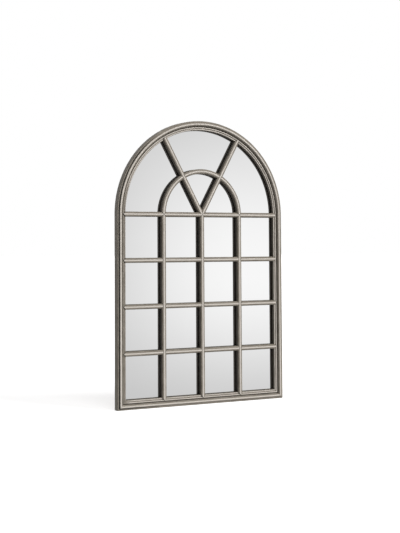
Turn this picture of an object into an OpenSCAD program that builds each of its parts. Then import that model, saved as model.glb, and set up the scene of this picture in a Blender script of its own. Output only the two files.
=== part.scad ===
// Arched window mirror: a mitred frame with a semicircular head, a lattice of
// glazing bars in front of one sheet of mirror glass, and two ring hangers
// let into the back.
//
// Origin: on the wall plane, at the foot of the frame, half way across.
// +X runs right, +Z runs up, and the front faces -Y, so the wall is at y = 0.
// A section is drawn as (inset from the outer edge, height off the wall).

/* [Frame] */
// Width over the frame
frame_w = 600; // [500:1:800]
// Height from the foot to the springing of the arch
spring_z = 600; // [500:1:900]
// Depth from the wall to the crest of the outer bead
frame_d = 25; // [24.5:0.1:32]
// Width of the whole moulding, seen from the front
moulding_w = 29.8; // [29:0.1:36]
// Radius of the big outer bead
bead_r = 7; // [6:0.1:8]
// Inset of the crest of the outer bead from the outer edge
bead_inset = 10.2; // [9.5:0.1:11]
// Height of the flat shoulder outside the bead
shoulder_h = 21.6; // [19:0.1:23]
// Rounding of the outer front corner of the shoulder
shoulder_r = 1.2; // [0.5:0.1:2]
// Height of the bottom of the groove between bead and reeds
groove_h = 16; // [13:0.1:17]
// Radius of the reed next to the groove
reed1_r = 3.1; // [2.5:0.1:3.4]
// Crest height of the reed next to the groove
reed1_h = 19.5; // [18:0.1:21]
// Radius of the reed at the sight edge
reed2_r = 2.9; // [2.4:0.1:3.2]
// Crest height of the reed at the sight edge
reed2_h = 18.1; // [17:0.1:20]
// Overlap of the two reeds
reed_overlap = 0.6; // [0.3:0.1:1]
// Width of the solid rim at the back, outside the rebate
rim_w = 20; // [18:0.1:22]

/* [Glass and back] */
// Thickness of the mirror glass
glass_t = 3; // [2:0.1:3.4]
// Thickness of the backing board
board_t = 2.2; // [1.5:0.1:2.6]
// Depth of the rebate that holds glass and board
rebate_d = 6.6; // [6.2:0.1:7.2]
// Gap between the edge of the glass or board and the rebate
glass_gap = 1.5; // [0.5:0.1:3]

/* [Glazing bars] */
// Width of a glazing bar
bar_w = 15.4; // [12:0.1:18]
// Height of a cross bar off the glass, to its crest
bar_h = 15; // [14:0.1:16]
// Radius of a bar's rounded shoulders
bar_round = 4; // [2:0.1:6]
// Extra height of uprights and inner arch over the cross bars
upright_rise = 0.05; // [0.02:0.01:0.2]
// Extra height of the diagonals over the inner arch
diagonal_rise = 0.05; // [0.02:0.01:0.2]
// How much wider the outer panes are than the inner ones
outer_pane_extra = 1.3; // [0:0.1:12]
// How much taller the bottom panes are than the ones above
bottom_pane_extra = 4.3; // [0:0.1:12]
// Slope of the diagonals from the horizontal
diagonal_angle = 61; // [50:0.5:65]
// Distance from the outer edge to the pointed tip of a bar
tip_inset = 20.6; // [19:0.1:24]
// Gap where the ends of the top row clear the start of the head's curve
scribe_gap = 0.15; // [0.13:0.01:0.4]

/* [Joinery] */
// Diameter of the dowels in the bars
dowel_d = 4; // [3:0.1:5]
// Length of a dowel that pins a bar to the frame
dowel_l = 20; // [14:1:24]
// Length of a dowel through an upright or a diagonal
cross_dowel_l = 32; // [28:1:40]
// Height of the dowels off the wall
dowel_h = 12; // [9:0.1:14]
// Drop of the top row's dowels, below the feet of inner arch and diagonals
top_dowel_drop = 3.2; // [2.8:0.1:3.6]
// Clearance round a dowel and at its ends
dowel_gap = 0.1; // [0.05:0.01:0.2]
// Thickness of the loose tongues in the frame joints
tongue_t = 4; // [3:0.1:6]
// Width of a tongue along the joint
tongue_w = 10; // [8:0.1:11]
// Length of a tongue across the joint
tongue_l = 12; // [8:0.5:14]
// Height of the middle of a tongue off the wall
tongue_h = 11; // [9:0.1:13]
// Inset of the middle of a tongue from the outer edge
tongue_inset = 10.5; // [9.5:0.1:12]
// Clearance round a tongue
tongue_gap = 0.1; // [0.05:0.01:0.3]

/* [Retaining points] */
// Thickness of a retaining point
point_t = 0.5; // [0.3:0.1:0.6]
// Width of a retaining point
point_w = 9; // [6:0.5:14]
// Length of a retaining point over the board
point_reach = 9; // [6:0.5:14]
// Length of a retaining point driven into the frame
point_bite = 5; // [3:0.5:7]
// Retaining points along each stile
points_per_stile = 4; // [2:1:6]
// Retaining points along the bottom rail
points_in_rail = 3; // [2:1:5]
// Retaining points round the arch
points_in_arch = 6; // [2:2:8]
// Distance of the outer points from the foot or the sides
point_end = 80; // [60:1:150]
// Distance of the top points of the stiles below the springing
point_top = 130; // [120:1:200]

/* [Hangers] */
// Distance of the ring pivots below the springing
hanger_drop = 40; // [32:1:60]
// Inset of the hangers' centre line from the outer edge
hanger_inset = 10.2; // [9.6:0.1:11]
// Depth of the pocket for a hanger
pocket_d = 5.2; // [5:0.1:6]
// Width of the pocket
pocket_w = 14; // [13.6:0.1:15]
// Length of the pocket above the pivot, for the ring and a hook
pocket_up = 20; // [16:1:30]
// Length of the pocket below the pivot
pocket_down = 44; // [42:1:50]
// Thickness of the strap
strap_t = 0.9; // [0.7:0.1:1]
// Width of the strap
strap_w = 6.8; // [6:0.1:7]
// Length of the strap below the pivot
strap_l = 40; // [34:1:41]
// Diameter of the ring's wire
wire_d = 2; // [1.8:0.1:2.2]
// Clearance between the wire and the strap's knuckle
pivot_gap = 0.08; // [0.03:0.01:0.1]
// Width of the ring between wire centres
ring_w = 10.6; // [10.4:0.1:11]
// Length of the ring between wire centres
ring_l = 11; // [10:0.1:13]
// Bend radius of the ring's lower corners
ring_bend = 1.6; // [1.4:0.1:1.6]
// Thread diameter of the hanger screws
screw_d = 3; // [2.5:0.1:3.5]
// Length of the hanger screws
screw_l = 12; // [8:1:13]
// Head diameter of the hanger screws
screw_head_d = 5; // [4.6:0.1:5.4]
// Countersunk depth of the screw heads
screw_head_t = 0.8; // [0.5:0.1:0.9]
// Width of the driving slot in a screw head
screw_slot_w = 0.7; // [0.5:0.1:1]
// Depth of the driving slot in a screw head
screw_slot_t = 0.4; // [0.3:0.1:0.7]
// Distance from the pivot to the upper screw
screw_first = 17; // [16:0.5:20]
// Distance between the two screws of a hanger
screw_pitch = 15; // [12:0.5:18]

/* [Hidden] */
$fn = 96;
// Overlap that keeps a cut clear of the surface it starts from
eps = 0.5;
// Edge of a cutting block that is larger than the whole frame
big = 2 * (frame_w + spring_z);

arch_r = frame_w / 2;
glass_front = rebate_d;
glass_back = glass_front - glass_t;
board_back = glass_back - board_t;
bar_r = bar_w / 2;
reed1_inset = moulding_w - 2 * reed2_r - reed1_r + reed_overlap;
pane_inset = rim_w + glass_gap;
hanger_z = spring_z - hanger_drop;

// Cross bars in each column, and the angle at which equal mouldings meet
row_count = 4;
mitre = 45;
// Distance between the uprights, which is the inner arch's radius
bar_pitch = (arch_r - moulding_w + bar_r - outer_pane_extra) / 2;
// Distance between the cross bars
row_pitch = (spring_z - moulding_w + bar_r - bottom_pane_extra) / row_count;
tip_reach = arch_r - tip_inset;
row_top = bar_h;
upright_top = bar_h + upright_rise;
diagonal_top = upright_top + diagonal_rise;
knuckle_r = wire_d / 2 + pivot_gap + strap_t;
pivot_y = pocket_d - knuckle_r;
hanger_x = arch_r - hanger_inset;

ROWS = [for (i = [0 : row_count - 1]) spring_z - i * row_pitch];
UPRIGHTS = [-bar_pitch, 0, bar_pitch];

// Section of the frame moulding, as (inset, height off the wall). With its
// rebate filled it scribes the ends of the bars.
module moulding(filled = false) {
    square([rim_w, groove_h]);
    if (filled) square([moulding_w, glass_front + eps]);
    // Flat shoulder with its rounded corner
    square([bead_inset, shoulder_h - shoulder_r]);
    translate([shoulder_r, shoulder_h - shoulder_r]) circle(shoulder_r);
    translate([shoulder_r, 0]) square([bead_inset - shoulder_r, shoulder_h]);
    // Outer bead on its body
    translate([bead_inset, frame_d - bead_r]) circle(bead_r);
    translate([bead_inset, 0]) square([bead_r, frame_d - bead_r]);
    // Lip in front of the glass, with two reeds
    translate([rim_w - eps, glass_front])
        square([reed1_inset - rim_w + eps, reed1_h - reed1_r - glass_front]);
    translate([reed1_inset, reed1_h - reed1_r]) circle(reed1_r);
    translate([reed1_inset, glass_front])
        square([moulding_w - reed1_inset, reed2_h - reed2_r - glass_front]);
    translate([moulding_w - reed2_r, reed2_h - reed2_r]) circle(reed2_r);
}

// Moulding of the left stile up to a given height
module stile_blank(height = spring_z, filled = false) {
    translate([-arch_r, 0, 0])
        linear_extrude(height)
            mirror([0, 1]) moulding(filled);
}

// Moulding of the bottom rail along its whole length
module rail_blank(filled = false) {
    mirror([1, 0, -1])
        linear_extrude(frame_w, center = true)
            mirror([0, 1]) moulding(filled);
}

// Moulding of the right half of the arch
module arch_blank(filled = false) {
    translate([0, 0, spring_z]) rotate([90, 0, 0])
        rotate_extrude(angle = 90)
            translate([arch_r, 0]) mirror([1, 0]) moulding(filled);
}

// Block on the outer side of the left mitre plane
module below_mitre() {
    translate([-arch_r, 0, 0]) rotate([0, -mitre, 0])
        translate([-big / 2, -big / 2, -big]) cube(big);
}

// Block on the inner side of the left mitre plane
module above_mitre() {
    translate([-arch_r, 0, 0]) rotate([0, -mitre, 0])
        translate([-big / 2, -big / 2, 0]) cube(big);
}

// One loose tongue at the origin: across the joint along X, and wide along Z
module tongue(gap = 0) {
    cube([tongue_l + 2 * gap, tongue_t + 2 * gap, tongue_w + 2 * gap], center = true);
}

// Tongue in the left mitre
module mitre_tongue(gap = 0) {
    translate([tongue_inset - arch_r, -tongue_h, tongue_inset])
        rotate([0, mitre, 0]) tongue(gap);
}

// Tongue in an arch joint at an angle from +X
module arch_tongue(angle, gap = 0) {
    translate([0, 0, spring_z]) rotate([0, -angle, 0])
        translate([arch_r - tongue_inset, -tongue_h, 0])
            rotate([0, 90, 0]) tongue(gap);
}

// Pocket in the back of the left stile for its hanger
module hanger_pocket() {
    translate([-hanger_x - pocket_w / 2, -pocket_d, hanger_z - pocket_down])
        cube([pocket_w, pocket_d + eps, pocket_down + pocket_up]);
}

// Places its children at both screws of the left hanger, heads towards the wall
module at_hanger_screws() {
    for (i = [0 : 1])
        translate([-hanger_x, 0, hanger_z - screw_first - i * screw_pitch])
            children();
}

// Height of the dowels of the cross bar at z
function dowel_z(z) = z == spring_z ? z - top_dowel_drop : z;

// Dowel from inside the stile into a bar's end, along +X from the left edge
module end_dowel(z, gap = 0) {
    translate([moulding_w - arch_r - dowel_l / 2 - gap, -dowel_h, dowel_z(z)])
        rotate([0, 90, 0])
            cylinder(h = dowel_l + 2 * gap, d = dowel_d + 2 * gap);
}

// Dowel into the foot of an upright, from inside the bottom rail
module foot_dowel(x, gap = 0) {
    translate([x, -dowel_h, moulding_w - dowel_l / 2 - gap])
        cylinder(h = dowel_l + 2 * gap, d = dowel_d + 2 * gap);
}

// Dowel through an upright, which pins a cross bar on each side of it
module cross_dowel(x, z, gap = 0) {
    translate([x, -dowel_h, dowel_z(z)]) rotate([0, 90, 0])
        cylinder(h = cross_dowel_l + 2 * gap, d = dowel_d + 2 * gap, center = true);
}

// Dowel from the arch into the outer end of a diagonal
module diagonal_dowel(angle, gap = 0) {
    translate([0, -dowel_h, spring_z]) rotate([0, 90 - angle, 0])
        translate([0, 0, arch_r - moulding_w - dowel_l / 2 - gap])
            cylinder(h = dowel_l + 2 * gap, d = dowel_d + 2 * gap);
}

// Dowel through a diagonal, which pins the inner arch on each side of it
module ring_dowel(angle, gap = 0) {
    translate([0, -dowel_h, spring_z]) rotate([0, -angle, 0])
        translate([bar_pitch, 0, 0])
            cylinder(h = cross_dowel_l + 2 * gap, d = dowel_d + 2 * gap, center = true);
}

// Slots for the retaining points of the left stile
module stile_points() {
    span = spring_z - point_top - point_end;
    for (i = [0 : points_per_stile - 1])
        translate([rim_w - arch_r, 0, point_end + i * span / (points_per_stile - 1)])
            retaining_point();
}

// Retaining points of the bottom rail
module rail_points() {
    span = frame_w - 2 * point_end;
    for (i = [0 : points_in_rail - 1])
        translate([i * span / (points_in_rail - 1) - span / 2, 0, rim_w])
            rotate([0, -90, 0]) retaining_point();
}

// Retaining points of the arch
module arch_points() {
    for (i = [0 : points_in_arch - 1])
        translate([0, 0, spring_z])
            rotate([0, -180 * (i + 0.5) / points_in_arch, 0])
                translate([arch_r - rim_w, 0, 0]) rotate([0, 180, 0]) retaining_point();
}

// One retaining point: a thin steel diamond-ended tab across the rebate's wall
module retaining_point() {
    translate([0, -board_back, 0]) rotate([-90, 0, 0])
        linear_extrude(point_t)
            polygon([
                [-point_bite, 0], [-point_bite / 2, point_w / 2], [point_reach, point_w / 2],
                [point_reach, -point_w / 2], [-point_bite / 2, -point_w / 2]
            ]);
}

// Left stile before its bars are fitted
module stile() {
    difference() {
        stile_blank();
        below_mitre();
        hanger_pocket();
        mitre_tongue(tongue_gap);
        arch_tongue(180, tongue_gap);
        stile_points();
        for (z = ROWS) end_dowel(z, dowel_gap);
        at_hanger_screws() screw_hole();
    }
}

// Pilot hole of a hanger screw
module screw_hole() {
    rotate([90, 0, 0]) cylinder(h = pocket_d - strap_t + screw_l, d = screw_d);
}

module stile_left() {
    color("#8f867b") stile();
}

module stile_right() {
    color("#8f867b") mirror([1, 0, 0]) stile();
}

module bottom_rail() {
    color("#8f867b") difference() {
        rail_blank();
        above_mitre();
        mirror([1, 0, 0]) above_mitre();
        mitre_tongue(tongue_gap);
        mirror([1, 0, 0]) mitre_tongue(tongue_gap);
        rail_points();
        for (x = UPRIGHTS) foot_dowel(x, dowel_gap);
    }
}

// Half of the arch, on the right
module arch_half() {
    difference() {
        arch_blank();
        arch_tongue(0, tongue_gap);
        arch_tongue(90, tongue_gap);
        arch_points();
        diagonal_dowel(diagonal_angle, dowel_gap);
    }
}

module arch_right() {
    color("#8f867b") arch_half();
}

module arch_left() {
    color("#8f867b") mirror([1, 0, 0]) arch_half();
}

module frame_tongues() {
    color("burlywood") {
        mitre_tongue();
        mirror([1, 0, 0]) mitre_tongue();
        for (angle = [0, 90, 180]) arch_tongue(angle);
    }
}

// Section of a glazing bar of a given height off the glass, with rounded shoulders
module bar_section(top) {
    flat = bar_r - bar_round;
    translate([-bar_r, glass_front]) square([bar_w, top - bar_round]);
    translate([-flat, glass_front]) square([2 * flat, top]);
    for (side = [-1, 1])
        translate([side * flat, glass_front + top - bar_round]) circle(bar_round);
}

// Bar along +Z from z = 0, flat at the bottom and flat at the top
module bar(length, top) {
    linear_extrude(length) mirror([0, 1]) bar_section(top);
}

// Block that keeps a point of a given half angle, with its tip at the origin
module point_keep(half_angle) {
    rotate([90, 0, 0])
        linear_extrude(4 * frame_d, center = true)
            polygon([[0, 0], [-big * tan(half_angle), -big], [big * tan(half_angle), -big]]);
}

// Bar along +Z from z = 0, with a point at each end that has an angle
module pointed_bar(length, top, top_angle = 0, foot_angle = 0) {
    intersection() {
        bar(length, top);
        if (top_angle > 0) translate([0, 0, length]) point_keep(top_angle);
        if (foot_angle > 0) rotate([0, 180, 0]) point_keep(foot_angle);
    }
}

// Upright at a given x, mitred to the bottom rail and to the top cross bars
module upright_blank(x) {
    translate([x, 0, tip_inset])
        pointed_bar(spring_z - tip_inset, upright_top, mitre, mitre);
}

// Inner arch between two angles, measured from +X
module ring_blank(from, to) {
    translate([0, 0, spring_z]) rotate([90, 0, 0]) rotate([0, 0, from])
        rotate_extrude(angle = to - from)
            translate([bar_pitch, 0]) bar_section(upright_top);
}

// Diagonal on the right, from the middle of the top cross bar to the arch
module diagonal_blank() {
    translate([0, 0, spring_z]) rotate([0, 90 - diagonal_angle, 0])
        pointed_bar(tip_reach, diagonal_top, mitre);
}

// Space between the flat sides of the right diagonal, where the inner arch ends
module diagonal_space() {
    translate([0, 0, spring_z]) rotate([0, 90 - diagonal_angle, 0])
        translate([-bar_r, -2 * frame_d, 0]) cube([bar_w, 4 * frame_d, tip_reach]);
}

// Block that keeps the foot of the right diagonal between top cross bar and middle plane
module foot_keep() {
    translate([0, 0, spring_z]) rotate([90, 0, 0])
        linear_extrude(4 * frame_d, center = true)
            polygon([[0, 0], [big, big * tan(diagonal_angle / 2)], [0, big]]);
}

// Dowels through one upright, at every cross bar
module cross_dowels(x, gap = 0) {
    for (z = ROWS) cross_dowel(x, z, gap);
}

// Upright with its foot scribed to the rail and its dowel holes
module upright(x) {
    difference() {
        upright_blank(x);
        rail_blank(true);
        foot_dowel(x, dowel_gap);
        cross_dowels(x, dowel_gap);
    }
}

module upright_left() {
    color("#a39a8f") upright(-bar_pitch);
}

module upright_centre() {
    color("#a39a8f") upright(0);
}

module upright_right() {
    color("#a39a8f") upright(bar_pitch);
}

// Cross bar from the left stile to the left upright
module outer_cross_bar(z) {
    top_row = z == spring_z;
    difference() {
        translate([-bar_pitch, 0, z]) rotate([0, -90, 0])
            pointed_bar(tip_reach - bar_pitch, row_top, mitre, top_row ? mitre : 0);
        translate([top_row ? scribe_gap : 0, 0, 0]) stile_blank(spring_z + bar_w, true);
        if (!top_row) upright_blank(-bar_pitch);
        end_dowel(z, dowel_gap);
        cross_dowel(-bar_pitch, z, dowel_gap);
    }
}

// Block that keeps the point of the left top bar between upright and diagonal
module star_keep() {
    translate([0, 0, spring_z]) rotate([90, 0, 0])
        linear_extrude(4 * frame_d, center = true)
            polygon([[0, 0], [-big, big * tan(diagonal_angle / 2)], [-big, -big]]);
}

// Cross bar from the left upright to the centre upright
module inner_cross_bar(z) {
    top_row = z == spring_z;
    difference() {
        intersection() {
            translate([-bar_pitch, 0, z]) rotate([0, 90, 0])
                pointed_bar(bar_pitch, row_top, 0, top_row ? mitre : 0);
            if (top_row) star_keep();
        }
        if (!top_row) upright_blank(-bar_pitch);
        if (!top_row) upright_blank(0);
        cross_dowel(-bar_pitch, z, dowel_gap);
        cross_dowel(0, z, dowel_gap);
    }
}

// One of the four cross bars of a row, counted from the left
module cross_bar(row, column) {
    color("#b0a79c") {
        if (column == 0) outer_cross_bar(ROWS[row]);
        if (column == 1) inner_cross_bar(ROWS[row]);
        if (column == 2) mirror([1, 0, 0]) inner_cross_bar(ROWS[row]);
        if (column == 3) mirror([1, 0, 0]) outer_cross_bar(ROWS[row]);
    }
}

module diagonal_right() {
    color("#a39a8f") difference() {
        intersection() {
            diagonal_blank();
            foot_keep();
        }
        arch_blank(true);
        diagonal_dowel(diagonal_angle, dowel_gap);
        ring_dowel(diagonal_angle, dowel_gap);
    }
}

module diagonal_left() {
    mirror([1, 0, 0]) diagonal_right();
}

// Inner arch from the right upright to the right diagonal
module inner_arch_right() {
    color("#a39a8f") difference() {
        intersection() {
            ring_blank(0, diagonal_angle);
            translate([bar_pitch, 0, spring_z]) rotate([0, 180, 0]) point_keep(mitre);
        }
        diagonal_space();
        ring_dowel(diagonal_angle, dowel_gap);
    }
}

module inner_arch_left() {
    mirror([1, 0, 0]) inner_arch_right();
}

module inner_arch_crown() {
    color("#a39a8f") difference() {
        ring_blank(diagonal_angle, 180 - diagonal_angle);
        diagonal_space();
        mirror([1, 0, 0]) diagonal_space();
        ring_dowel(diagonal_angle, dowel_gap);
        ring_dowel(180 - diagonal_angle, dowel_gap);
    }
}

module bar_dowels() {
    color("burlywood") {
        for (z = ROWS) end_dowel(z);
        for (z = ROWS) mirror([1, 0, 0]) end_dowel(z);
        for (x = UPRIGHTS) foot_dowel(x);
        for (x = UPRIGHTS) cross_dowels(x);
        for (angle = [diagonal_angle, 180 - diagonal_angle]) {
            diagonal_dowel(angle);
            ring_dowel(angle);
        }
    }
}

// Arched sheet inset from the outer edge, between two heights off the wall
module arched_sheet(inset, back, front) {
    translate([0, -back, 0]) rotate([90, 0, 0]) linear_extrude(front - back) {
        translate([0, spring_z]) intersection() {
            circle(arch_r - inset);
            translate([-arch_r, 0]) square([frame_w, arch_r]);
        }
        translate([inset - arch_r, inset])
            square([frame_w - 2 * inset, spring_z - inset]);
    }
}

module mirror_glass() {
    color("#dfe3e4") arched_sheet(pane_inset, glass_back, glass_front);
}

module backing_board() {
    color("#6b4f37") arched_sheet(pane_inset, board_back, glass_back);
}

module retaining_points() {
    color("silver") {
        stile_points();
        mirror([1, 0, 0]) stile_points();
        rail_points();
        arch_points();
    }
}

// Strap of the left hanger: a screwed plate curled round the ring's bar
module hanger_strap() {
    difference() {
        union() {
            translate([-hanger_x - strap_w / 2, -pocket_d, hanger_z - strap_l])
                cube([strap_w, strap_t, strap_l]);
            translate([-hanger_x, -pivot_y, hanger_z]) rotate([0, 90, 0])
                cylinder(h = strap_w, r = knuckle_r, center = true);
        }
        translate([-hanger_x, -pivot_y, hanger_z]) rotate([0, 90, 0])
            cylinder(h = strap_w + 2 * eps, d = wire_d + 2 * pivot_gap, center = true);
        at_hanger_screws() {
            rotate([90, 0, 0]) cylinder(h = pocket_d + eps, d = screw_d);
            screw_head_solid();
        }
    }
}

// Countersunk head of a screw, its flat just below the strap's face
module screw_head_solid() {
    translate([0, strap_t - pocket_d, 0]) rotate([90, 0, 0])
        cylinder(h = screw_head_t, d1 = screw_head_d, d2 = screw_d);
}

module hanger_strap_left() {
    color("goldenrod") hanger_strap();
}

module hanger_strap_right() {
    color("goldenrod") mirror([1, 0, 0]) hanger_strap();
}

// One countersunk wood screw with a driving slot
module hanger_screw() {
    difference() {
        union() {
            screw_head_solid();
            translate([0, strap_t - screw_head_t / 2 - pocket_d, 0]) rotate([90, 0, 0])
                cylinder(h = screw_l - screw_head_t, d = screw_d);
        }
        translate([-screw_head_d, strap_t - pocket_d - screw_slot_t, -screw_slot_w / 2])
            cube([2 * screw_head_d, screw_slot_t + eps, screw_slot_w]);
    }
}

module hanger_screws() {
    color("silver") {
        at_hanger_screws() hanger_screw();
        mirror([1, 0, 0]) at_hanger_screws() hanger_screw();
    }
}

// Ring of the left hanger, hanging down from its straight bar in the knuckle
module hanger_ring() {
    half = ring_w / 2;
    translate([-hanger_x, -pivot_y, hanger_z]) {
        rotate([0, 90, 0])
            cylinder(h = ring_w - 2 * ring_bend, d = wire_d, center = true);
        for (side = [0, 1]) mirror([side, 0, 0]) {
            translate([half - ring_bend, 0, -ring_bend]) rotate([90, 0, 0])
                rotate_extrude(angle = 90) translate([ring_bend, 0]) circle(d = wire_d);
            translate([half, 0, half - ring_l])
                cylinder(h = ring_l - half - ring_bend, d = wire_d);
        }
        translate([0, 0, half - ring_l]) rotate([-90, 0, 0])
            rotate_extrude(angle = 180) translate([half, 0]) circle(d = wire_d);
    }
}

module hanger_ring_left() {
    color("silver") hanger_ring();
}

module hanger_ring_right() {
    color("silver") mirror([1, 0, 0]) hanger_ring();
}

stile_left();
stile_right();
bottom_rail();
arch_left();
arch_right();
frame_tongues();
upright_left();
upright_centre();
upright_right();
cross_bar(0, 0);  // cross_bar_1a
cross_bar(0, 1);  // cross_bar_1b
cross_bar(0, 2);  // cross_bar_1c
cross_bar(0, 3);  // cross_bar_1d
cross_bar(1, 0);  // cross_bar_2a
cross_bar(1, 1);  // cross_bar_2b
cross_bar(1, 2);  // cross_bar_2c
cross_bar(1, 3);  // cross_bar_2d
cross_bar(2, 0);  // cross_bar_3a
cross_bar(2, 1);  // cross_bar_3b
cross_bar(2, 2);  // cross_bar_3c
cross_bar(2, 3);  // cross_bar_3d
cross_bar(3, 0);  // cross_bar_4a
cross_bar(3, 1);  // cross_bar_4b
cross_bar(3, 2);  // cross_bar_4c
cross_bar(3, 3);  // cross_bar_4d
inner_arch_left();
inner_arch_crown();
inner_arch_right();
diagonal_left();
diagonal_right();
bar_dowels();
mirror_glass();
backing_board();
retaining_points();
hanger_strap_left();
hanger_strap_right();
hanger_screws();
hanger_ring_left();
hanger_ring_right();
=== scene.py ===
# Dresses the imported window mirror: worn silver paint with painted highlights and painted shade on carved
# mouldings and bars, mirror glass, hardboard and small metal parts, seen from the photograph's viewpoint.
# Lengths are in metres, apart from the camera's sensor and lens, which are in millimetres.
# A section is drawn as (inset u or offset s, height v off the wall).
import math

import bmesh
import bpy
from mathutils import Matrix, Vector, noise


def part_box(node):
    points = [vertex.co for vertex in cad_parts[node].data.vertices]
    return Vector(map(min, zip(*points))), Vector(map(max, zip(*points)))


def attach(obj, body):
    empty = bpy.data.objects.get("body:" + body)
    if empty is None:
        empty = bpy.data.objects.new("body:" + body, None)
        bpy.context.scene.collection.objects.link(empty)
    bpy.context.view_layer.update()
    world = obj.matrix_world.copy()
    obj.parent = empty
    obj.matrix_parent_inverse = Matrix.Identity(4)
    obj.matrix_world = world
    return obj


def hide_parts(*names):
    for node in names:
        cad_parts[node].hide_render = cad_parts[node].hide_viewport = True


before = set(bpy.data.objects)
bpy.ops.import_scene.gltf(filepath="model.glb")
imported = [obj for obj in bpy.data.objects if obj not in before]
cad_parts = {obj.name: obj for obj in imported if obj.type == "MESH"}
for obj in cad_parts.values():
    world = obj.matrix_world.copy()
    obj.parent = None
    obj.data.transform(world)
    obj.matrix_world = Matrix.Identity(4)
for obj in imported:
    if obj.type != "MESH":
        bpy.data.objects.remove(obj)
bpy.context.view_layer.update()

MM = 0.001
BODY = "frame"

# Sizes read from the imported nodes
STILE_LOW, STILE_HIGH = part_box("stile_left")
ARCH_LOW, ARCH_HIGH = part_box("arch_right")
UPRIGHT_LOW, UPRIGHT_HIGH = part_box("upright_right")
STRAP_LOW, STRAP_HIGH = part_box("hanger_strap_left")
ARCH_R = ARCH_HIGH.x
SPRING_Z = ARCH_LOW.z
FRAME_D = -STILE_LOW.y
MOULDING_W = STILE_HIGH.x - STILE_LOW.x
GLASS_FRONT = -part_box("mirror_glass")[0].y
HALF_BAR = (UPRIGHT_HIGH.x - UPRIGHT_LOW.x) / 2
BAR_PITCH = (UPRIGHT_HIGH.x + UPRIGHT_LOW.x) / 2
TIP_INSET = UPRIGHT_LOW.z
UPRIGHT_TOP = -UPRIGHT_LOW.y
ROW_TOP = -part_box("cross_bar_2a")[0].y
DIAGONAL_TOP = -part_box("diagonal_left")[0].y
ROWS = [sum(corner.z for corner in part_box(f"cross_bar_{row}b")) / 2 for row in (1, 2, 3, 4)]

# Slope of the diagonals, as in the part
DIAGONAL_ANGLE = math.radians(61)

# Moulding section, as in the part
BEAD_R, BEAD_INSET = 7 * MM, 10.2 * MM
SHOULDER_H, SHOULDER_R = 21.6 * MM, 1.2 * MM
GROOVE_H = 16 * MM
REED1_R, REED1_H, REED1_INSET = 3.1 * MM, 19.5 * MM, 21.5 * MM
REED2_R, REED2_H = 2.9 * MM, 18.1 * MM
REED2_INSET = MOULDING_W - REED2_R
RIM_W = 20 * MM

# A bar's rounded shoulders, and how far its worn top swells between them
BAR_ROUND, BAR_CROWN = 4 * MM, 0.35 * MM

# Hanger pocket in the back of a stile, with walls that lean by the draft
POCKET_D, POCKET_W = 5.2 * MM, 14 * MM
POCKET_UP, POCKET_DOWN, STRAP_L = 20 * MM, 44 * MM, 40 * MM
HANGER_INSET = ARCH_R + (STRAP_LOW.x + STRAP_HIGH.x) / 2
HANGER_Z = STRAP_LOW.z + STRAP_L
WALL_DRAFT = 0.1 * MM

# How finely the carved surfaces and the head of the glass are modelled
ARC_STEP, FLAT_STEP, RING_STEP = 0.6 * MM, 2.2 * MM, 2.6 * MM
GLASS_STEPS = 96
# Turn from which an edge is shown sharp, and the distance under which two heights or insets are the same
CREASE_ANGLE = math.radians(38)
CLOSE = 0.01 * MM

# Hand-made unevenness: slow waves, dents that come in patches, and the eased edge of every joint
WAVE_DEPTH, WAVE_SIZE = 0.18 * MM, 45 * MM
DENT_DEPTH, DENT_SIZE, DENT_LEVEL = 0.9 * MM, 8 * MM, 0.5
PATCH_SIZE, PATCH_LOW, PATCH_HIGH = 5 * DENT_SIZE, -0.1, 0.35
JOINT_EASE, JOINT_REACH = 0.16 * MM, 0.9 * MM
# Height over which that unevenness sets in above the back of a moulding and the foot of a bar
MOULDING_FOOT, BAR_FOOT = 2 * MM, 2.5 * MM
# Dark wax that has gathered along the joints: its share at those of bars and frame, and its reach
BAR_JOINT_WAX, FRAME_JOINT_WAX, JOINT_WAX_REACH = 0.95, 0.4, 1.5 * MM
# Reach of a bar's rubbed crest, which also carries a painted highlight, and of the dark wax at its foot
BAR_CREST_REACH, BAR_FOOT_REACH = 2.4 * MM, 6.5 * MM
# Depth below the front of the glass at which the silvering behind it appears
SILVER_DEPTH = 2.65 * MM
# Stretch over which the slant of a piece's end dies out along its length
END_BLEND = 45 * MM

# The photograph's camera, found from the mirror's own edges
IMAGE_H = 533
SENSOR_W = 36
FOCAL_PX = 1187.03
CENTRE_Y_PX = 180
CAMERA_AT = Vector((-1875.08, -3317.58, 496.41)) * MM
CAMERA_AZIMUTH, CAMERA_ELEVATION, CAMERA_ROLL = (math.radians(a) for a in (29.526, 3.239, -0.318))

# Pale studio that shiny reflections show, by the direction looked in: the limits along X where its bright
# part sets in, and along Z at the foot and the head of that part
STUDIO_RIGHT, STUDIO_FOOT, STUDIO_HEAD = (0.35, 0.526), (-0.168, -0.025), (-0.014, 0.186)
# Light that the bright part adds, light of the rest, and the limits along Y where the studio turns white
STUDIO_EXTRA, STUDIO_REST, STUDIO_BACK = 0.457, 0.6, (-0.1, 0.3)
# Soft light for all else: the limits along Y between its dim front and its bright back, and both strengths
SOFT_BACK, SOFT_DIM, SOFT_FULL = (0.4, 0.8), 0.02, 1.1
# Floor: reach, drop below the foot, grey, the glow that lifts it for the camera, and its glow for all else
FLOOR_REACH, FLOOR_DROP = 60.0, 0.4 * MM
FLOOR_GREY, FLOOR_LIFT, FLOOR_GLOW = 0.85, 0.68, 0.35


def smoothstep(low, high, value):
    share = min(1, max(0, (value - low) / (high - low)))
    return share * share * (3 - 2 * share)


def bell(distance, reach):
    return math.exp(-((distance / reach) ** 2))


def line(start, end, step=FLAT_STEP):
    """Points along a straight stretch, without its last point."""
    count = max(1, round(math.dist(start, end) / step))
    return [tuple(a + (b - a) * i / count for a, b in zip(start, end)) for i in range(count)]


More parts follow.
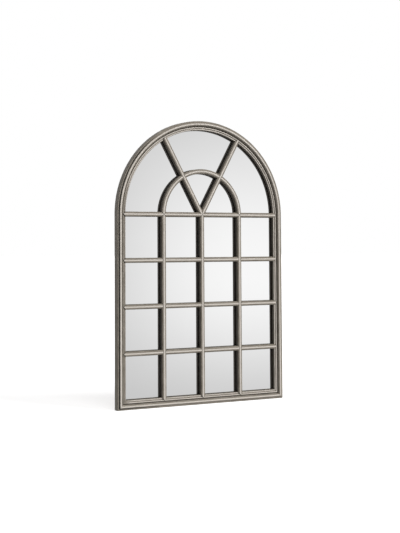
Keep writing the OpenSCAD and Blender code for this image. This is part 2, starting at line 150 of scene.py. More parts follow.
def arc(centre, radius, start, end):
    """Points round a circle, clockwise from one point on it to another, without the last."""
    angles = [math.atan2(p[1] - centre[1], p[0] - centre[0]) % math.tau for p in (start, end)]
    count = max(2, round((angles[0] - angles[1]) * radius / ARC_STEP))
    turns = [angles[0] + (angles[1] - angles[0]) * i / count for i in range(count)]
    return [(centre[0] + radius * math.cos(a), centre[1] + radius * math.sin(a)) for a in turns]


def circles_cross(centre1, radius1, centre2, radius2):
    """The higher crossing point of two circles, the second one on the right."""
    gap = math.dist(centre1, centre2)
    along = (radius1**2 - radius2**2 + gap**2) / (2 * gap)
    across = math.sqrt(radius1**2 - along**2)
    eu, ev = ((b - a) / gap for a, b in zip(centre1, centre2))
    return centre1[0] + along * eu - across * ev, centre1[1] + along * ev + across * eu


BEAD = (BEAD_INSET, FRAME_D - BEAD_R)
REED1 = (REED1_INSET, REED1_H - REED1_R)
REED2 = (REED2_INSET, REED2_H - REED2_R)
BEAD_START = (BEAD_INSET - math.sqrt(BEAD_R**2 - (SHOULDER_H - BEAD[1]) ** 2), SHOULDER_H)
GROOVE_START = (BEAD_INSET + BEAD_R, GROOVE_H)
GROOVE_END = (REED1_INSET - math.sqrt(REED1_R**2 - (REED1[1] - GROOVE_H) ** 2), GROOVE_H)
VALLEY = circles_cross(REED1, REED1_R, REED2, REED2_R)
# Creases that hold dark wax, and crests that are rubbed bright with a painted highlight: the place, reach
# and share of each
CREASES = [(GROOVE_START, 2.4 * MM, 1), (GROOVE_END, 1.4 * MM, 1), (VALLEY, 0.7 * MM, 0.45),
           ((MOULDING_W, GLASS_FRONT), 3.8 * MM, 1)]
CRESTS = [((BEAD_INSET, FRAME_D), 2.4 * MM, 1.1), ((REED1_INSET, REED1_H), 2 * MM, 0.8),
          ((REED2_INSET, REED2_H), 2 * MM, 0.8)]
# The reeds of the left stile get painted shade: their rubbed crests and painted highlight are cut by this
# share, which sets in between two distances left of the middle
LEFT_REEDS_SHADE, REED_SHADE_FROM, REED_SHADE_TO = 0.6, 0.25, 0.28
# The foot of the bead's outer flank holds a little dark wax, and painted shade that grows towards the left:
# place, reach, shares right and left, and the distances left of the middle between which they change
OUTER_CREASE = (BEAD_START[0] + 0.9 * MM, SHOULDER_H + 1.3 * MM)
OUTER_REACH, OUTER_WAX, OUTER_WAX_AND_SHADE = 2.4 * MM, 0.2, 1.4
FLANK_SHADE_FROM, FLANK_SHADE_TO = 0.1, 0.28


def moulding_section():
    """Outline of the moulding from the back outer corner, up the outer side, over the front and back."""
    corner = (SHOULDER_R, SHOULDER_H - SHOULDER_R)
    bead_side = (BEAD_INSET + BEAD_R, BEAD[1])
    sight_top, sight_foot = (MOULDING_W, REED2[1]), (MOULDING_W, GLASS_FRONT)
    pocket_far, pocket_near = HANGER_INSET + POCKET_W / 2, HANGER_INSET - POCKET_W / 2
    points = line((0, 0), (0, corner[1]))
    points += arc(corner, SHOULDER_R, (0, corner[1]), (SHOULDER_R, SHOULDER_H))
    points += line((SHOULDER_R, SHOULDER_H), BEAD_START, ARC_STEP)
    points += arc(BEAD, BEAD_R, BEAD_START, bead_side)
    points += line(bead_side, GROOVE_START, ARC_STEP) + line(GROOVE_START, GROOVE_END, ARC_STEP)
    points += arc(REED1, REED1_R, GROOVE_END, VALLEY) + arc(REED2, REED2_R, VALLEY, sight_top)
    points += line(sight_top, sight_foot) + line(sight_foot, (RIM_W, GLASS_FRONT))
    points += line((RIM_W, GLASS_FRONT), (RIM_W, 0)) + [(RIM_W, 0), (pocket_far, 0)]
    points += line((pocket_far - WALL_DRAFT, 0), (pocket_near + WALL_DRAFT, 0))
    return points + [(pocket_near + WALL_DRAFT, 0), (pocket_near, 0)]


def moulding_reach(v):
    """Inset of the moulding's inner side at a height, which the bars are scribed to."""
    if v <= REED2[1]:
        return MOULDING_W
    reeds = [(REED1, REED1_R), (REED2, REED2_R)]
    reach = [c[0] + math.sqrt(r**2 - (v - c[1]) ** 2) for c, r in reeds if v < c[1] + r]
    return max(reach, default=0)


def bar_section(top):
    """Outline of a bar from its left foot over the crest to its right foot, then the middle of its back."""
    flat = HALF_BAR - BAR_ROUND
    shoulder = (-flat, top - BAR_CROWN - BAR_ROUND)
    side, edge, crest = (-HALF_BAR, shoulder[1]), (-flat, top - BAR_CROWN), (0, top)
    crown_r = (flat**2 + BAR_CROWN**2) / (2 * BAR_CROWN)
    points = line((-HALF_BAR, GLASS_FRONT), side) + arc(shoulder, BAR_ROUND, side, edge)
    points += arc((0, top - crown_r), crown_r, edge, crest)
    half = points + [crest]
    return half + [(-s, v) for s, v in reversed(points)] + [(0, GLASS_FRONT)]


def outward(points):
    """Outward normal at each point of a closed outline that runs clockwise."""
    normals = []
    for before, after in zip(points[-1:] + points[:-1], points[1:] + points[:1]):
        du, dv = after[0] - before[0], after[1] - before[1]
        size = math.hypot(du, dv) or 1
        normals.append((-dv / size, du / size))
    return normals


def moulding_marks(point, place):
    """How far the paint is rubbed, with a painted highlight, and how much dark wax and painted shade sit
    there, at a point of the moulding.
    """
    rubbed = max(share * bell(math.dist(point, crest), reach) for crest, reach, share in CRESTS)
    # Painted shade: the left stile's reeds lose part of their highlight
    if point[0] > GROOVE_END[0]:
        rubbed *= 1 - LEFT_REEDS_SHADE * smoothstep(REED_SHADE_FROM, REED_SHADE_TO, -place[0])
    wax_and_shade = max(share * bell(math.dist(point, crease), reach) for crease, reach, share in CREASES)
    # Painted shade on the bead's outer flank, stronger towards the left, over a little dark wax
    flank_wax_and_shade = OUTER_WAX + (OUTER_WAX_AND_SHADE - OUTER_WAX) * smoothstep(FLANK_SHADE_FROM, FLANK_SHADE_TO, -place[0])
    return rubbed, max(wax_and_shade, flank_wax_and_shade * bell(math.dist(point, OUTER_CREASE), OUTER_REACH))


def bar_marks(point, top):
    """The same two shares at a point of a bar."""
    # The crest share is rubbed silver with a painted highlight; the foot share is dark wax
    foot = math.dist((abs(point[0]), point[1]), (HALF_BAR, GLASS_FRONT))
    return bell(math.dist(point, (0, top)), BAR_CREST_REACH), bell(foot, BAR_FOOT_REACH)


def hollow(place):
    """Depth that age and hand work have taken off the surface at a place."""
    wave = WAVE_DEPTH * (0.5 + 0.5 * noise.noise(place / WAVE_SIZE))
    dent = max(0, noise.noise(place / DENT_SIZE) - DENT_LEVEL)
    patch = smoothstep(PATCH_LOW, PATCH_HIGH, noise.noise(place / PATCH_SIZE))
    return wave + DENT_DEPTH * dent * patch


def close_normals(mesh):
    """Turns every face of a closed mesh outward."""
    shape = bmesh.new()
    shape.from_mesh(mesh)
    bmesh.ops.recalc_face_normals(shape, faces=shape.faces)
    shape.to_mesh(mesh)
    shape.free()


class Skin:
    """A swept surface that keeps each vertex's place along and across the grain, its wear with painted
    highlight, and its wax with painted shade.
    """

    def __init__(self, name):
        self.name = name
        self.places, self.grain, self.rubbed, self.wax_and_shade = [], [], [], []
        self.faces, self.slots = [], []

    def vertex(self, place, grain, marks):
        self.places.append(place)
        self.grain.append(grain)
        self.rubbed.append(marks[0])
        self.wax_and_shade.append(marks[1])
        return len(self.places) - 1

    def face(self, corners, slot=0):
        self.faces.append(corners)
        self.slots.append(slot)

    def build(self, materials, node):
        """Makes the piece, which stands for a CAD node, with the given materials, and hides that node."""
        mesh = bpy.data.meshes.new(self.name)
        mesh.from_pydata(self.places, [], self.faces)
        mesh.polygons.foreach_set("material_index", self.slots)
        close_normals(mesh)
        for key, kind, values in (
            ("grain", "FLOAT_VECTOR", [c for vector in self.grain for c in vector]),
            ("rubbed", "FLOAT", self.rubbed), ("wax_and_shade", "FLOAT", self.wax_and_shade),
        ):
            field = "vector" if kind == "FLOAT_VECTOR" else "value"
            mesh.attributes.new(key, kind, "POINT").data.foreach_set(field, values)
        mesh.shade_smooth()
        mesh.set_sharp_from_angle(angle=CREASE_ANGLE)
        for material in materials:
            mesh.materials.append(material)
        piece = bpy.data.objects.new(self.name, mesh)
        bpy.context.scene.collection.objects.link(piece)
        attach(piece, BODY)
        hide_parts(node)


def stations(length, extra):
    """Distances at which a sweep has its rings, closer together near both ends."""
    count = max(2, round(length / RING_STEP))
    near = 2 * JOINT_REACH
    ends = [0, 0.3 * JOINT_REACH, JOINT_REACH, near]
    middle = [near + (length - 2 * near) * i / count for i in range(1, count)]
    return sorted(ends + middle + [length - d for d in ends] + list(extra))


def sweep(skin, section, place_at, start_at, end_at, marks, slots, loose, end_wax, extra=()):
    """Adds a closed section swept from one end to the other, and returns its rings of vertices.

    place_at(t, a, v) gives the place of a point (a, v) of the section at t along the path,
    start_at(a, v) and end_at(a, v) give t where the line through that point starts and ends,
    marks(point, place) gives its wear with painted highlight and its wax with painted shade, and loose(a,
    v) how freely it may be worn away.
    slots holds the material of each stretch of the section, end_wax is the share of wax at both
    ends, and extra holds more distances that get a ring."""
    normals = outward(section)
    first = min(start_at(a, v) for a, v in section)
    length = max(end_at(a, v) for a, v in section) - first
    rings = []
    for distance in stations(length, extra):
        lead = max(0, 1 - distance / END_BLEND)
        trail = max(0, 1 - (length - distance) / END_BLEND)
        inside = min(distance, length - distance)
        ease = JOINT_EASE * (1 - smoothstep(0, JOINT_REACH, inside))
        joint_wax = end_wax * bell(inside, JOINT_WAX_REACH)
        ring = []
        for (a, v), (na, nv) in zip(section, normals):
            t = first + distance + lead * (start_at(a, v) - first) + trail * (end_at(a, v) - first - length)
            depth = (hollow(Vector(place_at(t, a, v))) + ease) * loose(a, v)
            place = place_at(t, a - na * depth, v - nv * depth)
            rubbed, wax_and_shade = marks((a, v), place)
            ring.append(skin.vertex(place, (t, a, v), (rubbed, max(wax_and_shade, joint_wax))))
        rings.append(ring)
    for low, high in zip(rings, rings[1:]):
        for i, slot in enumerate(slots):
            j = (i + 1) % len(section)
            skin.face((low[i], low[j], high[j], high[i]), slot)
    return rings


def moulding(name, place_at, start_at, end_at, extra=()):
    """One carved piece of the frame."""
    section = moulding_section()
    skin = Skin(f"{name}_painted")

    def back(a, v):
        return a > 0 and v <= GLASS_FRONT + CLOSE

    def loose(a, v):
        return smoothstep(0, MOULDING_FOOT, v - GLASS_FRONT if a >= RIM_W - CLOSE else v)

    slots = [int(back(*p) and back(*q)) for p, q in zip(section, section[1:] + section[:1])]
    slots[-1] = 1
    rings = sweep(skin, section, place_at, start_at, end_at, moulding_marks, slots, loose,
                  FRAME_JOINT_WAX, extra)
    for ring in (rings[0], rings[-1]):
        skin.face(tuple(ring), 1)
    skin.build([PAINT, BARE_WOOD], name)


def bar(name, top, place_at, start_at, end_at):
    """One glazing bar, with ends that may run differently on each side of its middle."""
    section = bar_section(top)
    skin = Skin(f"{name}_painted")
    slots = [int(p[1] == q[1] == GLASS_FRONT) for p, q in zip(section, section[1:] + section[:1])]
    rings = sweep(skin, section, place_at, start_at, end_at,
                  lambda point, place: bar_marks(point, top), slots,
                  lambda a, v: smoothstep(0, BAR_FOOT, v - GLASS_FRONT), BAR_JOINT_WAX)
    crest = len(section) // 2 - 1
    for ring, limit in ((rings[0], start_at), (rings[-1], end_at)):
        column = [ring[-1]]
        for _, v in section[1:crest]:
            t = limit(0, v)
            column.append(skin.vertex(place_at(t, 0, v), (t, 0, v), (0, 1)))
        column.append(ring[crest])
        for i in range(crest):
            left, right = (ring[i], ring[i + 1]), (ring[2 * crest - i], ring[2 * crest - i - 1])
            for outer in (left, right):
                corners = [outer[0], column[i], column[i + 1], outer[1]]
                skin.face(tuple(dict.fromkeys(corners)))
    skin.build([PAINT, BARE_WOOD], name)


def add(tree, kind, inputs=None, **settings):
    """Adds a node, sets its properties, and wires or fills its inputs."""
    node = tree.nodes.new(f"ShaderNode{kind}")
    for key, value in settings.items():
        setattr(node, key, value)
    for key, value in (inputs or {}).items():
        if isinstance(value, bpy.types.NodeSocket):
            tree.links.new(value, node.inputs[key])
        else:
            node.inputs[key].default_value = value
    return node


def calc(tree, operation, *values):
    return add(tree, "Math", dict(enumerate(values)), operation=operation).outputs[0]


def ramp(tree, value, low, high, start=0.0, end=1.0):
    """Smooth step of a value between two limits, from start to end."""
    inputs = {0: value, 1: low, 2: high, 3: start, 4: end}
    return add(tree, "MapRange", inputs, interpolation_type="SMOOTHSTEP").outputs[0]


def blend(tree, share, first, second):
    inputs = {0: share, 6: first, 7: second}
    return add(tree, "Mix", inputs, data_type="RGBA").outputs[2]


def noise_at(tree, vector, stretch, detail=3.0, roughness=0.55, distortion=0.0):
    """Noise from 0 to 1 whose grain has a size of 1 / stretch metres along each axis."""
    scaled = add(tree, "VectorMath", {0: vector, 1: stretch}, operation="MULTIPLY").outputs[0]
    inputs = {"Vector": scaled, "Scale": 1.0, "Detail": detail, "Roughness": roughness,
              "Distortion": distortion}
    return add(tree, "TexNoise", inputs).outputs["Fac"]


def rgb(red, green, blue):
    """Colour given in 0 to 255 as it shows on screen, as the shader takes it."""
    def linear(c):
        c /= 255
        return c / 12.92 if c <= 0.04045 else ((c + 0.055) / 1.055) ** 2.4
    return (linear(red), linear(green), linear(blue), 1.0)


def new_material(name):
    material = bpy.data.materials.new(name)
    material.use_nodes = True
    return material, material.node_tree, material.node_tree.nodes["Principled BSDF"]


def finish_shader(tree, shader, height=None, depth=0.0, strength=1.0, **sockets):
    """Fills the shader's sockets, and bumps it by a height, 1 of which stands for depth metres."""
    for key, value in sockets.items():
        socket = shader.inputs[key.replace("_", " ")]
        if isinstance(value, bpy.types.NodeSocket):
            tree.links.new(value, socket)
        else:
            socket.default_value = value
    if height is not None:
        bump = add(tree, "Bump", {"Height": height, "Distance": depth, "Strength": strength})
        tree.links.new(bump.outputs[0], shader.inputs["Normal"])


def object_place(tree):
    return add(tree, "TexCoord").outputs["Object"]


def silver_wear_and_shade(name):
    """Silver paint rubbed bright on the crests and dark-waxed in the hollows, with painted highlight and
    painted shade carried in the same two attributes.
    """
    material, tree, shader = new_material(name)
    grain = add(tree, "Attribute", attribute_name="grain").outputs["Vector"]
    rubbed = add(tree, "Attribute", attribute_name="rubbed").outputs["Fac"]
    wax_and_shade = add(tree, "Attribute", attribute_name="wax_and_shade").outputs["Fac"]

    # Streaks and hairs run along the piece, clouds and specks are patches of the paint
    streaks = noise_at(tree, grain, (22, 640, 640), 4.0, 0.6)
    hairs = noise_at(tree, grain, (90, 2400, 2400), 2.0)
    clouds = noise_at(tree, grain, (30, 90, 90), 4.0, 0.6)
    specks = noise_at(tree, grain, (330, 420, 420), 2.0, 0.7)

    # Rubbing with painted highlight shows bright, wax with painted shade shows dark, both broken up by the
    # streaks and clouds
    uneven = calc(tree, "ADD", calc(tree, "MULTIPLY", streaks, 0.7), calc(tree, "MULTIPLY", clouds, 0.6))
    bright = ramp(tree, calc(tree, "ADD", rubbed, calc(tree, "SUBTRACT", uneven, 0.65)), 0.2, 0.85)
    dark = ramp(tree, calc(tree, "ADD", wax_and_shade, calc(tree, "SUBTRACT", 0.62, uneven)), 0.3, 0.95)
    flecked = ramp(tree, specks, 0.7, 0.78)

    # Dull paint, bright silver where rubbed and painted highlight, then wax and painted shade, then brown
    # flecks
    body = blend(tree, ramp(tree, clouds, 0.35, 0.65), rgb(140, 133, 123), rgb(120, 113, 103))
    silver = blend(tree, hairs, rgb(224, 217, 208), rgb(203, 195, 186))
    paint = blend(tree, bright, body, silver)
    paint = blend(tree, dark, paint, rgb(51, 50, 47))
    paint = blend(tree, calc(tree, "MULTIPLY", flecked, 0.65), paint, rgb(74, 62, 52))
    metallic = calc(tree, "MULTIPLY", bright, 0.4)
    rough = ramp(tree, calc(tree, "SUBTRACT", bright, dark), -0.5, 1.0, 0.62, 0.36)
    height = calc(tree, "ADD", calc(tree, "MULTIPLY", streaks, 0.6), calc(tree, "MULTIPLY", hairs, 0.25))
    height = calc(tree, "SUBTRACT", height, calc(tree, "MULTIPLY", flecked, 0.5))
    finish_shader(tree, shader, height, 0.2 * MM, 0.35, Base_Color=paint, Metallic=metallic,
                  Roughness=rough, Specular_IOR_Level=0.25)
    return material


def stained_wood(name):
    """Unpainted wood of the back, stained brown, with its grain along the piece."""
    material, tree, shader = new_material(name)
    grain = add(tree, "Attribute", attribute_name="grain").outputs["Vector"]
    rings = noise_at(tree, grain, (9, 260, 260), 5.0, 0.65, 0.6)
    pores = noise_at(tree, grain, (140, 2600, 2600), 2.0)
    colour = blend(tree, ramp(tree, rings, 0.35, 0.65), rgb(92, 70, 52), rgb(132, 104, 78))
    colour = blend(tree, ramp(tree, pores, 0.55, 0.75, 0.0, 0.6), colour, rgb(54, 40, 30))
    finish_shader(tree, shader, calc(tree, "ADD", rings, pores), 0.12 * MM, 0.6,
                  Base_Color=colour, Roughness=ramp(tree, pores, 0.3, 0.7, 0.62, 0.8))
    return material


def beech(name):
    """Pale wood of dowels and tongues."""
    material, tree, shader = new_material(name)
    grain = noise_at(tree, object_place(tree), (60, 900, 900), 4.0, 0.6)
    colour = blend(tree, grain, rgb(196, 160, 116), rgb(160, 122, 82))
    finish_shader(tree, shader, grain, 0.1 * MM, 0.5, Base_Color=colour, Roughness=0.6)
    return material


def silvered_glass(name):
    """Mirror glass, with a trace of haze in long patches."""
    material, tree, shader = new_material(name)
    haze = noise_at(tree, object_place(tree), (5, 1, 14), 3.0, 0.5, 0.4)
    tint = blend(tree, haze, rgb(240, 240, 240), rgb(242, 242, 242))
    rough = ramp(tree, haze, 0.3, 0.8, 0.012, 0.03)
    finish_shader(tree, shader, Base_Color=tint, Metallic=1.0, Roughness=rough)
    return material


def hardboard(name):
    """Pressed fibre board, its rough side out, with the mark of the press screen."""
    material, tree, shader = new_material(name)
    place = object_place(tree)
    fibres = noise_at(tree, place, (900, 900, 900), 4.0, 0.7)
    clouds = noise_at(tree, place, (14, 14, 14), 4.0, 0.6)
    waves = [add(tree, "TexWave", {"Vector": place, "Scale": 160.0, "Distortion": 1.2, "Detail": 1.0},
                 bands_direction=axis).outputs["Fac"] for axis in ("X", "Z")]
    screen = calc(tree, "MULTIPLY", *waves)
    colour = blend(tree, ramp(tree, clouds, 0.3, 0.7), rgb(112, 78, 50), rgb(136, 98, 66))
    colour = blend(tree, ramp(tree, fibres, 0.5, 0.75), colour, rgb(84, 56, 36))
    height = calc(tree, "ADD", calc(tree, "MULTIPLY", screen, 0.7), calc(tree, "MULTIPLY", fibres, 0.5))
    finish_shader(tree, shader, height, 0.25 * MM, 0.7, Base_Color=colour,
                  Roughness=ramp(tree, fibres, 0.3, 0.7, 0.78, 0.9))
    return material


def metal(name, bright, dull, rough_low, rough_high):
    """Small metal parts: tumbled, slightly tarnished and scuffed."""
    material, tree, shader = new_material(name)
    place = object_place(tree)
    tarnish = noise_at(tree, place, (260, 260, 260), 4.0, 0.65)
    scuffs = noise_at(tree, place, (500, 500, 3500), 2.0)
    shade = ramp(tree, calc(tree, "ADD", tarnish, calc(tree, "MULTIPLY", scuffs, 0.2)), 0.45, 0.8)
    finish_shader(tree, shader, scuffs, 0.04 * MM, 0.4, Base_Color=blend(tree, shade, bright, dull),
                  Metallic=1.0, Roughness=ramp(tree, tarnish, 0.3, 0.7, rough_low, rough_high))
    return material


PAINT = silver_wear_and_shade("worn_silver_paint")
BARE_WOOD = stained_wood("stained_back_wood")


def build_frame():
    """Two stiles, the bottom rail and two halves of the head."""
    pocket = (HANGER_Z - POCKET_DOWN, HANGER_Z + POCKET_UP)
    near_side, far_side = (HANGER_INSET + turn * (POCKET_W / 2 - WALL_DRAFT / 2) for turn in (-1, 1))
    edges = [z + turn * WALL_DRAFT / 2 for z in pocket for turn in (-1, 1)]
    for name, side in (("left", -1), ("right", 1)):
        def in_stile(t, u, v):
            sunk = v == 0 and near_side < u < far_side and pocket[0] < t < pocket[1]
            return (side * (ARCH_R - u), -POCKET_D if sunk else -v, t)

        def in_arch(t, u, v):
            angle = t / ARCH_R
            radius = ARCH_R - u
            return (side * radius * math.cos(angle), -v, SPRING_Z + radius * math.sin(angle))

        moulding(f"stile_{name}", in_stile, lambda u, v: u, lambda u, v: SPRING_Z, edges)
        moulding(f"arch_{name}", in_arch, lambda u, v: 0, lambda u, v: ARCH_R * math.pi / 2)
    moulding("bottom_rail", lambda t, u, v: (t, -v, u), lambda u, v: u - ARCH_R, lambda u, v: ARCH_R - u)


def half_width(v, top):
    """Half the width of a bar of a given crest height, at a height."""
    rise = v - (top - BAR_CROWN - BAR_ROUND)
    if rise <= 0:
        return HALF_BAR
    return HALF_BAR - BAR_ROUND + math.sqrt(max(0, BAR_ROUND**2 - rise**2))


def end_inset(s, v):
    """Inset at which a bar ends: scribed to the moulding, and pointed above it."""
    return max(moulding_reach(v), TIP_INSET + abs(s))


def build_uprights():
    """Three bars from the bottom rail up to the mitres at the springing of the head."""
    for name, x in (("left", -BAR_PITCH), ("centre", 0), ("right", BAR_PITCH)):
        bar(f"upright_{name}", UPRIGHT_TOP, lambda t, s, v: (x + s, -v, t),
            end_inset, lambda s, v: SPRING_Z - abs(s))


def build_cross_bars():
    """Four rows of four bars, the top one mitred where bars meet, the others scribed to the uprights."""
    for row, z in enumerate(ROWS):
        top_row = row == 0

        def outer_end(s, v):
            return -BAR_PITCH - (abs(s) if top_row else half_width(v, UPRIGHT_TOP))

        def inner_start(s, v):
            return -BAR_PITCH + (abs(s) if top_row else half_width(v, UPRIGHT_TOP))

        def inner_end(s, v):
            mitre = s / math.tan(DIAGONAL_ANGLE / 2) if s > 0 else -s
            return -(mitre if top_row else half_width(v, UPRIGHT_TOP))

        for column, side in (("a", 1), ("b", 1), ("c", -1), ("d", -1)):
            outer = column in "ad"
            bar(f"cross_bar_{row + 1}{column}", ROW_TOP, lambda t, s, v: (side * t, -v, z + s),
                (lambda s, v: end_inset(s, v) - ARCH_R) if outer else inner_start,
                outer_end if outer else inner_end)


def build_diagonals():
    """Two bars from the middle of the top row to the head of the frame."""
    def foot(s, v):
        """Cut at the middle plane between the two on one side, and mitred to the top row on the other."""
        return s * math.tan(DIAGONAL_ANGLE) if s > 0 else -s / math.tan(DIAGONAL_ANGLE / 2)

    def tip(s, v):
        scribed = math.sqrt((ARCH_R - moulding_reach(v)) ** 2 - s**2)
        return min(scribed, ARCH_R - TIP_INSET - abs(s))

    cos, sin = math.cos(DIAGONAL_ANGLE), math.sin(DIAGONAL_ANGLE)
    for name, side in (("left", -1), ("right", 1)):
        bar(f"diagonal_{name}", DIAGONAL_TOP,
            lambda t, s, v: (side * (t * cos - s * sin), -v, SPRING_Z + t * sin + s * cos), foot, tip)


def build_inner_arch():
    """Three curved bars: left and right from the top row to the diagonals, and the crown between these."""
    def ring_place(side):
        def place(t, s, v):
            angle, radius = t / BAR_PITCH, BAR_PITCH + s
            return (side * radius * math.cos(angle), -v, SPRING_Z + radius * math.sin(angle))
        return place

    def foot(s, v):
        """Where the line at s starts on the foot's mitre, found in a few rounds that close in on it."""
        angle, rounds = 0, 5
        for _ in range(rounds):
            away = abs((BAR_PITCH + s) * math.cos(angle) - BAR_PITCH)
            angle = math.asin(away / (BAR_PITCH + s))
        return angle * BAR_PITCH

    def beside_diagonal(s, v):
        return math.asin(half_width(v, DIAGONAL_TOP) / (BAR_PITCH + s))

    def at_diagonal(s, v):
        return BAR_PITCH * (DIAGONAL_ANGLE - beside_diagonal(s, v))

    for name, side in (("left", -1), ("right", 1)):
        bar(f"inner_arch_{name}", UPRIGHT_TOP, ring_place(side), foot, at_diagonal)
    bar("inner_arch_crown", UPRIGHT_TOP, ring_place(1),
        lambda s, v: BAR_PITCH * (DIAGONAL_ANGLE + beside_diagonal(s, v)),
        lambda s, v: BAR_PITCH * (math.pi - DIAGONAL_ANGLE - beside_diagonal(s, v)))


def build_glass():
    """The mirror glass. Its face lies at the depth where the silvering behind the glass appears."""
    depth = -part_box("mirror_glass")[1].y
    face = GLASS_FRONT - SILVER_DEPTH
    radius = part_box("mirror_glass")[1].x
    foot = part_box("mirror_glass")[0].z
    turns = [math.pi * i / GLASS_STEPS for i in range(GLASS_STEPS + 1)]
    outline = [(-radius, foot), (radius, foot)]
    outline += [(radius * math.cos(a), SPRING_Z + radius * math.sin(a)) for a in turns]
    mesh = bpy.data.meshes.new("mirror_glass_silvered")
    places = [(x, -v, z) for v in (depth, face) for x, z in outline]
    size = len(outline)
    faces = [tuple(reversed(range(size))), tuple(range(size, 2 * size))]
    faces += [(i, (i + 1) % size, size + (i + 1) % size, size + i) for i in range(size)]
    mesh.from_pydata(places, [], faces)
    close_normals(mesh)
    mesh.materials.append(silvered_glass("silvered_glass"))
    piece = bpy.data.objects.new("mirror_glass_silvered", mesh)
    bpy.context.scene.collection.objects.link(piece)
    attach(piece, BODY)
    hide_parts("mirror_glass")


def dress_cad_nodes():
    """Gives the nodes that show as they are their own finishes."""
    steel = metal("zinc_plated_steel", rgb(190, 192, 194), rgb(120, 122, 124), 0.28, 0.5)
    brass = metal("tarnished_brass", rgb(206, 168, 96), rgb(128, 98, 52), 0.3, 0.55)
    finishes = {
        "frame_tongues": beech("beech_tongues"), "bar_dowels": beech("beech_dowels"),
        "backing_board": hardboard("hardboard_back"),
        "retaining_points": metal("galvanised_points", rgb(168, 172, 176), rgb(112, 116, 120), 0.35, 0.6),
        "hanger_screws": steel, "hanger_strap_left": brass, "hanger_strap_right": brass,
        "hanger_ring_left": steel, "hanger_ring_right": steel,
    }
    for name, material in finishes.items():
        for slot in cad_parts[name].material_slots:
            slot.material = material


def direction(azimuth, elevation):
    """Unit vector that points away from the mirror's front, azimuth to the right of straight ahead."""
    a, e = math.radians(azimuth), math.radians(elevation)
    return Vector((math.sin(a) * math.cos(e), -math.cos(a) * math.cos(e), math.sin(e)))


def build_world():
    """A pale studio, brightest to the front right, that shows white behind the mirror."""
    world = bpy.data.worlds.new("studio")
    bpy.context.scene.world = world
    world.use_nodes = True
    tree = world.node_tree
    tree.nodes.clear()
    looking = add(tree, "TexCoord").outputs["Generated"]
    axes = add(tree, "SeparateXYZ", {0: looking}).outputs
    side, foot = ramp(tree, axes["X"], *STUDIO_RIGHT), ramp(tree, axes["Z"], *STUDIO_FOOT)
    bright = calc(tree, "MULTIPLY", side, foot)
    bright = calc(tree, "MULTIPLY", bright, ramp(tree, axes["Z"], *STUDIO_HEAD, 1.0, 0.0))
    behind = ramp(tree, axes["Y"], *STUDIO_BACK)
    mirrored = calc(tree, "MULTIPLY_ADD", bright, STUDIO_EXTRA, STUDIO_REST)
    mirrored = calc(tree, "MAXIMUM", mirrored, behind)
    lighting = ramp(tree, axes["Y"], *SOFT_BACK, SOFT_DIM, SOFT_FULL)
    rays = add(tree, "LightPath").outputs
    direct = calc(tree, "LESS_THAN", rays["Diffuse Depth"], 0.5)
    shiny = calc(tree, "MAXIMUM", rays["Is Glossy Ray"], rays["Is Transmission Ray"])
    shiny = calc(tree, "MULTIPLY", shiny, direct)
    strength = add(tree, "Mix", {0: shiny, 2: lighting, 3: mirrored}).outputs[0]
    strength = add(tree, "Mix", {0: rays["Is Camera Ray"], 2: strength, 3: 1.0}).outputs[0]
    background = add(tree, "Background", {"Color": (1, 1, 1, 1), "Strength": strength})
    output = add(tree, "OutputWorld")
    tree.links.new(background.outputs[0], output.inputs["Surface"])


def build_lamp(name, azimuth, elevation, spread, strength):
    """A large soft light far off to the front; the panes show the studio instead of it."""
    lamp = bpy.data.lights.new(name, "SUN")
    lamp.angle = math.radians(spread)
    lamp.energy = strength
    holder = bpy.data.objects.new(name, lamp)
    holder.visible_glossy = False
    holder.rotation_mode = "QUATERNION"
    holder.rotation_quaternion = (-direction(azimuth, elevation)).to_track_quat("-Z", "Y")
    bpy.context.scene.collection.objects.link(holder)


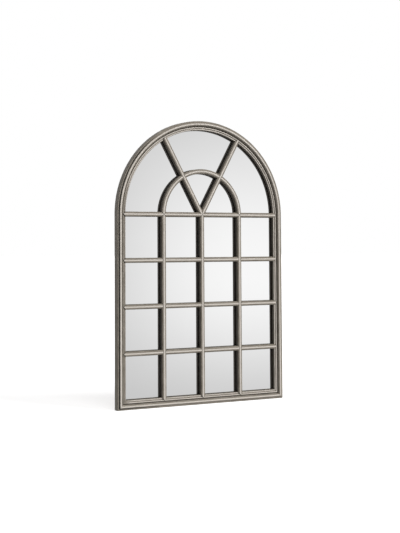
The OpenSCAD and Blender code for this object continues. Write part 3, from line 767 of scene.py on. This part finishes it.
def build_floor():
    """A pale floor just below the foot, white to the camera apart from the mirror's shadow."""
    mesh = bpy.data.meshes.new("floor")
    corners = [(x * FLOOR_REACH, y * FLOOR_REACH, 0) for x, y in ((-1, -1), (1, -1), (1, 1), (-1, 1))]
    mesh.from_pydata(corners, [], [(0, 1, 2, 3)])
    floor = bpy.data.objects.new("floor", mesh)
    floor.location.z = -FLOOR_DROP
    floor.visible_glossy = False
    bpy.context.scene.collection.objects.link(floor)
    material, tree, shader = new_material("floor")
    tree.nodes.remove(shader)
    seen = add(tree, "BsdfDiffuse", {"Color": (FLOOR_GREY, FLOOR_GREY, FLOOR_GREY, 1)})
    lift = add(tree, "Emission", {"Color": (1, 1, 1, 1), "Strength": FLOOR_LIFT})
    bright = add(tree, "AddShader", {0: seen.outputs[0], 1: lift.outputs[0]})
    bounced = add(tree, "Emission", {"Color": (1, 1, 1, 1), "Strength": FLOOR_GLOW})
    rays = add(tree, "LightPath").outputs
    either = add(tree, "MixShader", {0: rays["Is Camera Ray"], 1: bounced.outputs[0], 2: bright.outputs[0]})
    tree.links.new(either.outputs[0], tree.nodes["Material Output"].inputs["Surface"])
    mesh.materials.append(material)


def build_camera():
    """The photograph's camera: place, direction, roll and framing."""
    az, el, roll = CAMERA_AZIMUTH, CAMERA_ELEVATION, CAMERA_ROLL
    forward = Vector((math.sin(az) * math.cos(el), math.cos(az) * math.cos(el), math.sin(el)))
    level = Vector((math.cos(az), -math.sin(az), 0))
    above = level.cross(forward)
    right = math.cos(roll) * level + math.sin(roll) * above
    up = math.cos(roll) * above - math.sin(roll) * level
    camera = bpy.data.cameras.new("camera")
    camera.sensor_width = SENSOR_W
    camera.lens = SENSOR_W * FOCAL_PX / IMAGE_H
    camera.shift_y = (CENTRE_Y_PX - IMAGE_H / 2) / IMAGE_H
    holder = bpy.data.objects.new("camera", camera)
    turn = Matrix((right, up, -forward)).transposed().to_4x4()
    holder.matrix_world = Matrix.Translation(CAMERA_AT) @ turn
    bpy.context.scene.collection.objects.link(holder)
    bpy.context.scene.camera = holder


build_camera()
build_world()
build_lamp("key_light", azimuth=40, elevation=24, spread=34, strength=3.1)
build_lamp("fill_light", azimuth=-12, elevation=42, spread=34, strength=0.8)
build_floor()
build_frame()
build_uprights()
build_cross_bars()
build_diagonals()
build_inner_arch()
build_glass()
dress_cad_nodes()
bpy.context.scene.view_settings.view_transform = "Standard"
